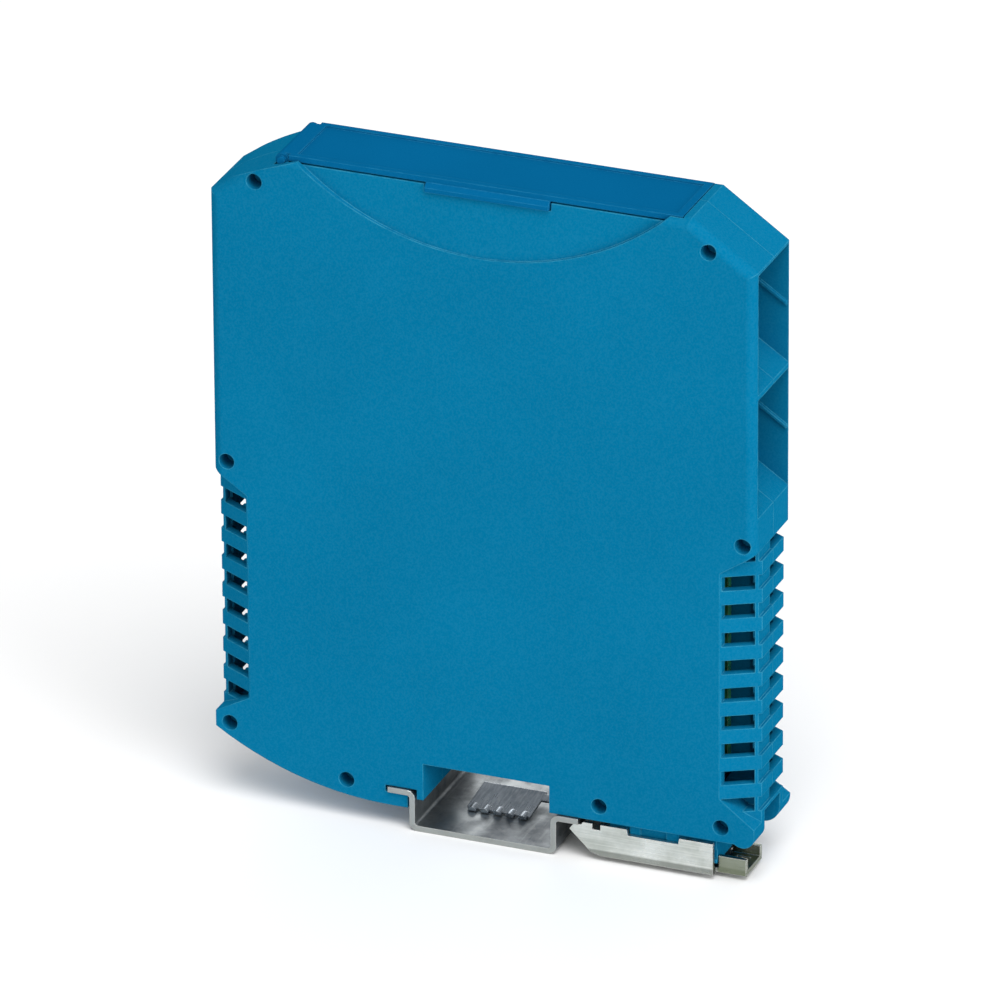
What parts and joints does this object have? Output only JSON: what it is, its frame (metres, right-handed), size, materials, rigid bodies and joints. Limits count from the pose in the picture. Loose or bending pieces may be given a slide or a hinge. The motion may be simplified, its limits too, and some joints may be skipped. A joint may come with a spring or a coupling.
{
  "type": "direct injection box",
  "caption": "Narrow two-shell rail-mount direct injection box with plug pockets, louvred ends, hinged top cover and sprung foot catch, clipped on a short rail.",
  "frame": {"origin": "On the plane the rail's web stands on, in the middle of the case's width and thickness", "axes": "+X across the rail from the fixed hook to the foot catch, +Y along the rail away from the front shell, +Z away from the rail towards the cover"},
  "size_m": [0.099, 0.0281, 0.1223],
  "materials": {
    "case": "moulded, fine satin grain",
    "cover": "moulded, smoother and darker than the case",
    "label": "blank marking strip",
    "board": "glass epoxy laminate with green resist",
    "header": "moulded polyamide",
    "contact": "tin plated",
    "core": "stacked laminations, varnished",
    "bobbin": "moulded nylon",
    "winding": "enamelled copper wire",
    "switch": "stamped can",
    "lever": "moulded",
    "capacitor": "dipped epoxy box",
    "resistor": "lacquered metal film",
    "sheet": "stamped, zinc plated",
    "spring": "drawn spring wire",
    "rail": "roll formed, zinc plated, mottled"
  },
  "bodies": {
    "housing": {"front_shell": "case", "rear_shell": "case", "circuit_board": "board", "instrument_in_header": "header", "instrument_in_pins": "contact", "thru_header": "header", "thru_pins": "contact", "balanced_out_header": "header", "balanced_out_pins": "contact", "ground_header": "header", "ground_pins": "contact", "transformer_core": "core", "transformer_bobbin": "bobbin", "primary_winding": "winding", "secondary_winding": "winding", "transformer_pins": "contact", "ground_lift_switch": "switch", "pad_switch": "switch", "film_capacitors": "capacitor", "pad_resistors": "resistor", "earth_contact": "sheet", "earth_rivet": "contact", "foot_spring": "spring"},
    "cover": {"top_cover": "cover", "label_strip": "label"},
    "foot": {"foot_catch": "sheet"},
    "rail": {"din_rail": "rail"},
    "ground_lift": {"ground_lift_lever": "lever"},
    "pad": {"pad_lever": "lever"}
  },
  "joints": [
    {"name": "cover_hinge", "type": "hinge", "parent": "housing", "child": "cover", "pos_m": [-0.0365, 0, 0.1211], "axis": [0, -1, 0], "range_deg": [0, 95]},
    {"name": "foot_slide", "type": "slide", "parent": "housing", "child": "foot", "axis": [1, 0, 0], "range_m": [0, 0.003], "stiffness_N_per_m": 1000, "springref_m": -0.004, "deforming": ["foot_spring"]},
    {"name": "rail_slide", "type": "slide", "parent": "housing", "child": "rail", "axis": [0, 1, 0], "range_m": [-0.009, 0.009]},
    {"name": "ground_lift_slide", "type": "slide", "parent": "housing", "child": "ground_lift", "axis": [1, 0, 0], "range_m": [0, 0.002]},
    {"name": "pad_slide", "type": "slide", "parent": "housing", "child": "pad", "axis": [1, 0, 0], "range_m": [0, 0.002]}
  ]
}
